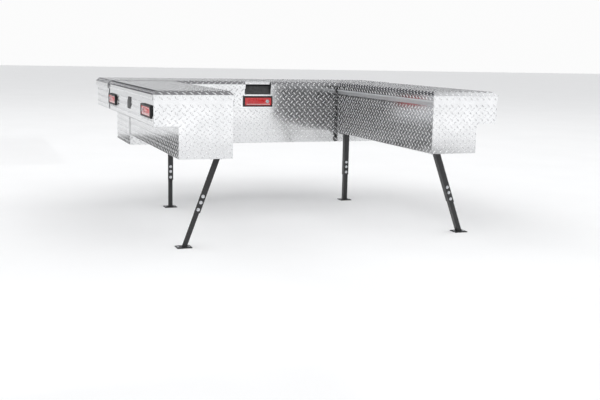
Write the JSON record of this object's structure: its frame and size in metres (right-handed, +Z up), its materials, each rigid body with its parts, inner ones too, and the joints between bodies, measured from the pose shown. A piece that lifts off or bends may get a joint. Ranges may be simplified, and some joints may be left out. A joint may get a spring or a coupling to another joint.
{
  "type": "truck tool box set",
  "caption": "Aluminium tread plate tool boxes for a pickup bed: a crossover box behind the cab and side boxes along the rails on adjustable legs.",
  "frame": {"origin": "middle of the footprint, on the plane of the four feet, which is the bed floor", "axes": "+X to the right side of the truck, +Y towards the cab, +Z up"},
  "size_m": [1.79, 1.663, 0.727],
  "materials": {
    "tread_plate": "bright five-bar tread plate",
    "mill_aluminium": "mill finish",
    "steel": "zinc plated",
    "black_steel": "satin black powder coat",
    "black_plastic": "moulded, fine texture",
    "red_enamel": "gloss",
    "rubber": "matt"
  },
  "bodies": {
    "root": {"crossover_end_left": "tread_plate", "crossover_end_right": "tread_plate", "crossover_finger_recess": "black_steel", "crossover_front_panel": "tread_plate", "crossover_hinge_body_leaf": "mill_aluminium", "crossover_latch_housing": "black_plastic", "crossover_seal": "rubber", "crossover_tub": "tread_plate", "side_left_end_front": "tread_plate", "side_left_end_rear": "tread_plate", "side_left_front_latch_housing": "black_plastic", "side_left_hinge_body_leaf": "mill_aluminium", "side_left_leg_front_lower": "black_steel", "side_left_leg_front_upper": "black_steel", "side_left_leg_rear_lower": "black_steel", "side_left_leg_rear_upper": "black_steel", "side_left_rear_latch_housing": "black_plastic", "side_left_seal": "rubber", "side_left_shell": "tread_plate", "side_right_end_front": "tread_plate", "side_right_end_rear": "tread_plate", "side_right_front_latch_housing": "black_plastic", "side_right_hinge_body_leaf": "mill_aluminium", "side_right_leg_front_lower": "black_steel", "side_right_leg_front_upper": "black_steel", "side_right_leg_rear_lower": "black_steel", "side_right_leg_rear_upper": "black_steel", "side_right_rear_latch_housing": "black_plastic", "side_right_seal": "rubber", "side_right_shell": "tread_plate"},
    "crossover_lid_body": {"crossover_lid": "tread_plate", "crossover_lid_skirt": "tread_plate", "crossover_lid_liner": "mill_aluminium", "crossover_hinge_lid_leaf": "mill_aluminium"},
    "crossover_strut_cylinder_left_body": {"crossover_strut_cylinder_left": "black_steel"},
    "crossover_strut_rod_left_body": {"crossover_strut_rod_left": "steel"},
    "crossover_strut_cylinder_right_body": {"crossover_strut_cylinder_right": "black_steel"},
    "crossover_strut_rod_right_body": {"crossover_strut_rod_right": "steel"},
    "crossover_latch_paddle_body": {"crossover_latch_paddle": "red_enamel"},
    "crossover_lock_body": {"crossover_lock_cylinder": "steel"},
    "side_left_lid_body": {"side_left_lid": "tread_plate", "side_left_lid_skirt": "tread_plate", "side_left_lid_liner": "mill_aluminium", "side_left_hinge_lid_leaf": "mill_aluminium"},
    "side_left_strut_cylinder_body": {"side_left_strut_cylinder": "black_steel"},
    "side_left_strut_rod_body": {"side_left_strut_rod": "steel"},
    "side_left_rear_latch_paddle_body": {"side_left_rear_latch_paddle": "red_enamel"},
    "side_left_rear_lock_body": {"side_left_rear_lock_cylinder": "steel"},
    "side_left_front_latch_paddle_body": {"side_left_front_latch_paddle": "red_enamel"},
    "side_left_front_lock_body": {"side_left_front_lock_cylinder": "steel"},
    "side_right_lid_body": {"side_right_lid": "tread_plate", "side_right_lid_skirt": "tread_plate", "side_right_lid_liner": "mill_aluminium", "side_right_hinge_lid_leaf": "mill_aluminium"},
    "side_right_strut_cylinder_body": {"side_right_strut_cylinder": "black_steel"},
    "side_right_strut_rod_body": {"side_right_strut_rod": "steel"},
    "side_right_rear_latch_paddle_body": {"side_right_rear_latch_paddle": "red_enamel"},
    "side_right_rear_lock_body": {"side_right_rear_lock_cylinder": "steel"},
    "side_right_front_latch_paddle_body": {"side_right_front_latch_paddle": "red_enamel"},
    "side_right_front_lock_body": {"side_right_front_lock_cylinder": "steel"}
  },
  "joints": [
    {"name": "crossover_lid_hinge", "type": "hinge", "parent": "root", "child": "crossover_lid_body", "pos_m": [0, 0.8275, 0.6797], "axis": [-1, 0, 0], "range_deg": [0, 78]},
    {"name": "crossover_strut_pivot_left", "type": "hinge", "parent": "root", "child": "crossover_strut_cylinder_left_body", "pos_m": [-0.735, 0.6675, 0.4897], "axis": [-1, 0, 0], "range_deg": [0, 19.31]},
    {"name": "crossover_strut_slide_left", "type": "slide", "parent": "crossover_strut_cylinder_left_body", "child": "crossover_strut_rod_left_body", "axis": [0, 0.0939, 0.9956], "range_m": [0, 0.15194]},
    {"name": "crossover_strut_pivot_right", "type": "hinge", "parent": "root", "child": "crossover_strut_cylinder_right_body", "pos_m": [0.735, 0.6675, 0.4897], "axis": [-1, 0, 0], "range_deg": [0, 19.31]},
    {"name": "crossover_strut_slide_right", "type": "slide", "parent": "crossover_strut_cylinder_right_body", "child": "crossover_strut_rod_right_body", "axis": [0, 0.0939, 0.9956], "range_m": [0, 0.15194]},
    {"name": "crossover_latch_paddle_hinge", "type": "hinge", "parent": "root", "child": "crossover_latch_paddle_body", "pos_m": [0, 0.3849, 0.6278], "axis": [-1, 0, 0], "range_deg": [0, 26], "stiffness_Nm_per_rad": 0.3, "springref_deg": -17.19},
    {"name": "crossover_lock_turn", "type": "hinge", "parent": "crossover_latch_paddle_body", "child": "crossover_lock_body", "pos_m": [0.0584, 0.3799, 0.608], "axis": [0, -1, 0], "range_deg": [0, 90]},
    {"name": "side_left_lid_hinge", "type": "hinge", "parent": "root", "child": "side_left_lid_body", "pos_m": [-0.5117, -0.22615, 0.6777], "axis": [0, 1, 0], "range_deg": [0, 82]},
    {"name": "side_left_strut_pivot", "type": "hinge", "parent": "root", "child": "side_left_strut_cylinder_body", "pos_m": [-0.6517, -0.7934, 0.4877], "axis": [0, 1, 0], "range_deg": [0, 19.57]},
    {"name": "side_left_strut_slide", "type": "slide", "parent": "side_left_strut_cylinder_body", "child": "side_left_strut_rod_body", "axis": [0.0939, 0, 0.9956], "range_m": [0, 0.13106]},
    {"name": "side_left_rear_latch_paddle_hinge", "type": "hinge", "parent": "root", "child": "side_left_rear_latch_paddle_body", "pos_m": [-0.8893, -0.6974, 0.6448], "axis": [0, 1, 0], "range_deg": [0, 26], "stiffness_Nm_per_rad": 0.3, "springref_deg": -17.19},
    {"name": "side_left_rear_lock_turn", "type": "hinge", "parent": "side_left_rear_latch_paddle_body", "child": "side_left_rear_lock_body", "pos_m": [-0.8943, -0.62, 0.628], "axis": [-1, 0, 0], "range_deg": [0, 90]},
    {"name": "side_left_front_latch_paddle_hinge", "type": "hinge", "parent": "root", "child": "side_left_front_latch_paddle_body", "pos_m": [-0.8893, 0.2451, 0.6448], "axis": [0, 1, 0], "range_deg": [0, 26], "stiffness_Nm_per_rad": 0.3, "springref_deg": -17.19},
    {"name": "side_left_front_lock_turn", "type": "hinge", "parent": "side_left_front_latch_paddle_body", "child": "side_left_front_lock_body", "pos_m": [-0.8943, 0.3225, 0.628], "axis": [-1, 0, 0], "range_deg": [0, 90]},
    {"name": "side_right_lid_hinge", "type": "hinge", "parent": "root", "child": "side_right_lid_body", "pos_m": [0.5117, -0.22615, 0.6777], "axis": [0, -1, 0], "range_deg": [0, 82]},
    {"name": "side_right_strut_pivot", "type": "hinge", "parent": "root", "child": "side_right_strut_cylinder_body", "pos_m": [0.6517, -0.7934, 0.4877], "axis": [0, -1, 0], "range_deg": [0, 19.57]},
    {"name": "side_right_strut_slide", "type": "slide", "parent": "side_right_strut_cylinder_body", "child": "side_right_strut_rod_body", "axis": [-0.0939, 0, 0.9956], "range_m": [0, 0.13106]},
    {"name": "side_right_rear_latch_paddle_hinge", "type": "hinge", "parent": "root", "child": "side_right_rear_latch_paddle_body", "pos_m": [0.8893, -0.6974, 0.6448], "axis": [0, -1, 0], "range_deg": [0, 26], "stiffness_Nm_per_rad": 0.3, "springref_deg": -17.19},
    {"name": "side_right_rear_lock_turn", "type": "hinge", "parent": "side_right_rear_latch_paddle_body", "child": "side_right_rear_lock_body", "pos_m": [0.8943, -0.62, 0.628], "axis": [1, 0, 0], "range_deg": [0, 90]},
    {"name": "side_right_front_latch_paddle_hinge", "type": "hinge", "parent": "root", "child": "side_right_front_latch_paddle_body", "pos_m": [0.8893, 0.2451, 0.6448], "axis": [0, -1, 0], "range_deg": [0, 26], "stiffness_Nm_per_rad": 0.3, "springref_deg": -17.19},
    {"name": "side_right_front_lock_turn", "type": "hinge", "parent": "side_right_front_latch_paddle_body", "child": "side_right_front_lock_body", "pos_m": [0.8943, 0.3225, 0.628], "axis": [1, 0, 0], "range_deg": [0, 90]}
  ],
  "couplings": [
    {"joint": "crossover_strut_pivot_left", "follows": "crossover_lid_hinge", "ratio": 0.24745},
    {"joint": "crossover_strut_slide_left", "follows": "crossover_lid_hinge", "m_per_rad": 0.1116},
    {"joint": "crossover_strut_pivot_right", "follows": "crossover_lid_hinge", "ratio": 0.24745},
    {"joint": "crossover_strut_slide_right", "follows": "crossover_lid_hinge", "m_per_rad": 0.1116},
    {"joint": "side_left_strut_pivot", "follows": "side_left_lid_hinge", "ratio": 0.2385},
    {"joint": "side_left_strut_slide", "follows": "side_left_lid_hinge", "m_per_rad": 0.091566},
    {"joint": "side_right_strut_pivot", "follows": "side_right_lid_hinge", "ratio": 0.2385},
    {"joint": "side_right_strut_slide", "follows": "side_right_lid_hinge", "m_per_rad": 0.091566}
  ]
}
